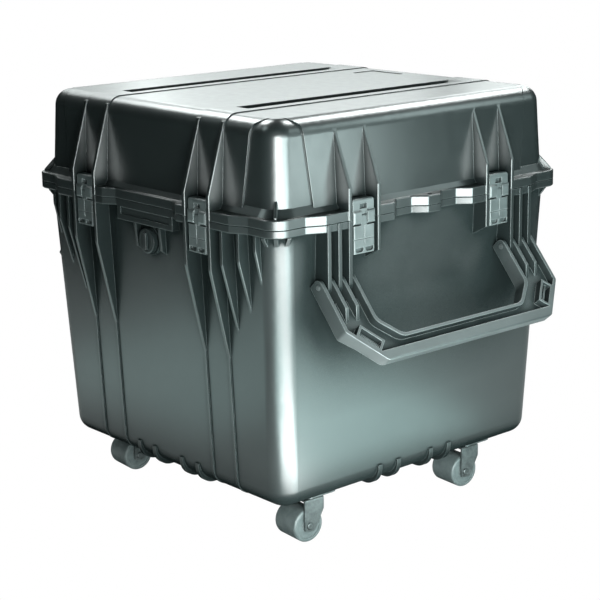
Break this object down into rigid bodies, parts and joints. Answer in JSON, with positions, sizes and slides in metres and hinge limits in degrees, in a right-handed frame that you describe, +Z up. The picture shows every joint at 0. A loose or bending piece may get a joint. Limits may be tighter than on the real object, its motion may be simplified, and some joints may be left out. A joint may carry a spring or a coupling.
{
  "type": "protective hard case",
  "caption": "Cube-shaped moulded hard case with lift-off lid, double-throw latches, swinging side handles and swivel casters.",
  "frame": {"origin": "centre of the case in plan, on the floor under the casters", "axes": "+Z up, front with the purge valve towards -Y, handles on +X and -X"},
  "size_m": [0.8508, 0.677, 0.7006],
  "materials": {
    "shell": "satin",
    "seal": "matte",
    "steel": "satin",
    "zinc": "satin",
    "valve": "satin",
    "latch": "satin",
    "handle": "satin",
    "wheel": "satin",
    "bush": "satin"
  },
  "bodies": {
    "base": {"base_shell": "shell", "latch_pins": "steel", "handle_pins": "steel", "caster_plates": "zinc", "caster_kingpins": "zinc", "caster_screws": "zinc", "valve_bezel": "valve", "valve_gasket": "seal", "valve_nut": "valve"},
    "lid": {"lid_shell": "shell", "lid_seal": "seal"},
    "clasp_right_1": {"latch_clasp_right_1": "latch", "lever_pin_right_1": "steel"},
    "lever_right_1": {"latch_lever_right_1": "latch"},
    "clasp_right_2": {"latch_clasp_right_2": "latch", "lever_pin_right_2": "steel"},
    "lever_right_2": {"latch_lever_right_2": "latch"},
    "clasp_back_1": {"latch_clasp_back_1": "latch", "lever_pin_back_1": "steel"},
    "lever_back_1": {"latch_lever_back_1": "latch"},
    "clasp_back_2": {"latch_clasp_back_2": "latch", "lever_pin_back_2": "steel"},
    "lever_back_2": {"latch_lever_back_2": "latch"},
    "clasp_left_1": {"latch_clasp_left_1": "latch", "lever_pin_left_1": "steel"},
    "lever_left_1": {"latch_lever_left_1": "latch"},
    "clasp_left_2": {"latch_clasp_left_2": "latch", "lever_pin_left_2": "steel"},
    "lever_left_2": {"latch_lever_left_2": "latch"},
    "clasp_front_1": {"latch_clasp_front_1": "latch", "lever_pin_front_1": "steel"},
    "lever_front_1": {"latch_lever_front_1": "latch"},
    "clasp_front_2": {"latch_clasp_front_2": "latch", "lever_pin_front_2": "steel"},
    "lever_front_2": {"latch_lever_front_2": "latch"},
    "handle_right": {"handle_right": "handle"},
    "handle_left": {"handle_left": "handle"},
    "fork_front_right": {"caster_fork_front_right": "zinc", "caster_axle_front_right": "zinc"},
    "wheel_front_right": {"caster_wheel_front_right": "wheel", "wheel_bush_front_right": "bush"},
    "fork_back_right": {"caster_fork_back_right": "zinc", "caster_axle_back_right": "zinc"},
    "wheel_back_right": {"caster_wheel_back_right": "wheel", "wheel_bush_back_right": "bush"},
    "fork_front_left": {"caster_fork_front_left": "zinc", "caster_axle_front_left": "zinc"},
    "wheel_front_left": {"caster_wheel_front_left": "wheel", "wheel_bush_front_left": "bush"},
    "fork_back_left": {"caster_fork_back_left": "zinc", "caster_axle_back_left": "zinc"},
    "wheel_back_left": {"caster_wheel_back_left": "wheel", "wheel_bush_back_left": "bush"},
    "knob": {"valve_knob": "valve"}
  },
  "joints": [
    {"name": "lid_lift", "type": "slide", "parent": "base", "child": "lid", "axis": [0, 0, 1], "range_m": [0, 0.25]},
    {"name": "clasp_swing_right_1", "type": "hinge", "parent": "base", "child": "clasp_right_1", "pos_m": [0.325, -0.1534, 0.492], "axis": [0, 1, 0], "range_deg": [0, 80]},
    {"name": "lever_swing_right_1", "type": "hinge", "parent": "clasp_right_1", "child": "lever_right_1", "pos_m": [0.331, -0.1534, 0.541], "axis": [0, -1, 0], "range_deg": [0, 28]},
    {"name": "clasp_swing_right_2", "type": "hinge", "parent": "base", "child": "clasp_right_2", "pos_m": [0.325, 0.1534, 0.492], "axis": [0, 1, 0], "range_deg": [0, 80]},
    {"name": "lever_swing_right_2", "type": "hinge", "parent": "clasp_right_2", "child": "lever_right_2", "pos_m": [0.331, 0.1534, 0.541], "axis": [0, -1, 0], "range_deg": [0, 28]},
    {"name": "clasp_swing_back_1", "type": "hinge", "parent": "base", "child": "clasp_back_1", "pos_m": [0.1534, 0.325, 0.492], "axis": [-1, 0, 0], "range_deg": [0, 80]},
    {"name": "lever_swing_back_1", "type": "hinge", "parent": "clasp_back_1", "child": "lever_back_1", "pos_m": [0.1534, 0.331, 0.541], "axis": [1, 0, 0], "range_deg": [0, 28]},
    {"name": "clasp_swing_back_2", "type": "hinge", "parent": "base", "child": "clasp_back_2", "pos_m": [-0.1534, 0.325, 0.492], "axis": [-1, 0, 0], "range_deg": [0, 80]},
    {"name": "lever_swing_back_2", "type": "hinge", "parent": "clasp_back_2", "child": "lever_back_2", "pos_m": [-0.1534, 0.331, 0.541], "axis": [1, 0, 0], "range_deg": [0, 28]},
    {"name": "clasp_swing_left_1", "type": "hinge", "parent": "base", "child": "clasp_left_1", "pos_m": [-0.325, 0.1534, 0.492], "axis": [0, -1, 0], "range_deg": [0, 80]},
    {"name": "lever_swing_left_1", "type": "hinge", "parent": "clasp_left_1", "child": "lever_left_1", "pos_m": [-0.331, 0.1534, 0.541], "axis": [0, 1, 0], "range_deg": [0, 28]},
    {"name": "clasp_swing_left_2", "type": "hinge", "parent": "base", "child": "clasp_left_2", "pos_m": [-0.325, -0.1534, 0.492], "axis": [0, -1, 0], "range_deg": [0, 80]},
    {"name": "lever_swing_left_2", "type": "hinge", "parent": "clasp_left_2", "child": "lever_left_2", "pos_m": [-0.331, -0.1534, 0.541], "axis": [0, 1, 0], "range_deg": [0, 28]},
    {"name": "clasp_swing_front_1", "type": "hinge", "parent": "base", "child": "clasp_front_1", "pos_m": [-0.1534, -0.325, 0.492], "axis": [1, 0, 0], "range_deg": [0, 80]},
    {"name": "lever_swing_front_1", "type": "hinge", "parent": "clasp_front_1", "child": "lever_front_1", "pos_m": [-0.1534, -0.331, 0.541], "axis": [-1, 0, 0], "range_deg": [0, 28]},
    {"name": "clasp_swing_front_2", "type": "hinge", "parent": "base", "child": "clasp_front_2", "pos_m": [0.1534, -0.325, 0.492], "axis": [1, 0, 0], "range_deg": [0, 80]},
    {"name": "lever_swing_front_2", "type": "hinge", "parent": "clasp_front_2", "child": "lever_front_2", "pos_m": [0.1534, -0.331, 0.541], "axis": [-1, 0, 0], "range_deg": [0, 28]},
    {"name": "handle_swing_right", "type": "hinge", "parent": "base", "child": "handle_right", "pos_m": [0.327, 0, 0.442], "axis": [0, -1, 0], "range_deg": [0, 50]},
    {"name": "handle_swing_left", "type": "hinge", "parent": "base", "child": "handle_left", "pos_m": [-0.327, 0, 0.442], "axis": [0, 1, 0], "range_deg": [0, 50]},
    {"name": "swivel_front_right", "type": "hinge", "parent": "base", "child": "fork_front_right", "pos_m": [0.234, -0.1835, 0.0725], "axis": [0, 0, 1], "continuous": true},
    {"name": "roll_front_right", "type": "hinge", "parent": "fork_front_right", "child": "wheel_front_right", "pos_m": [0.23204, -0.20591, 0.0285], "axis": [0.9962, -0.0872, 0], "continuous": true},
    {"name": "swivel_back_right", "type": "hinge", "parent": "base", "child": "fork_back_right", "pos_m": [0.234, 0.1835, 0.0725], "axis": [0, 0, 1], "continuous": true},
    {"name": "roll_back_right", "type": "hinge", "parent": "fork_back_right", "child": "wheel_back_right", "pos_m": [0.23204, 0.16109, 0.0285], "axis": [0.9962, -0.0872, 0], "continuous": true},
    {"name": "swivel_front_left", "type": "hinge", "parent": "base", "child": "fork_front_left", "pos_m": [-0.234, -0.1835, 0.0725], "axis": [0, 0, 1], "continuous": true},
    {"name": "roll_front_left", "type": "hinge", "parent": "fork_front_left", "child": "wheel_front_left", "pos_m": [-0.23596, -0.20591, 0.0285], "axis": [0.9962, -0.0872, 0], "continuous": true},
    {"name": "swivel_back_left", "type": "hinge", "parent": "base", "child": "fork_back_left", "pos_m": [-0.234, 0.1835, 0.0725], "axis": [0, 0, 1], "continuous": true},
    {"name": "roll_back_left", "type": "hinge", "parent": "fork_back_left", "child": "wheel_back_left", "pos_m": [-0.23596, 0.16109, 0.0285], "axis": [0.9962, -0.0872, 0], "continuous": true},
    {"name": "valve_turn", "type": "hinge", "parent": "base", "child": "knob", "pos_m": [0, -0.315, 0.478], "axis": [0, -1, 0], "range_deg": [0, 180]}
  ]
}
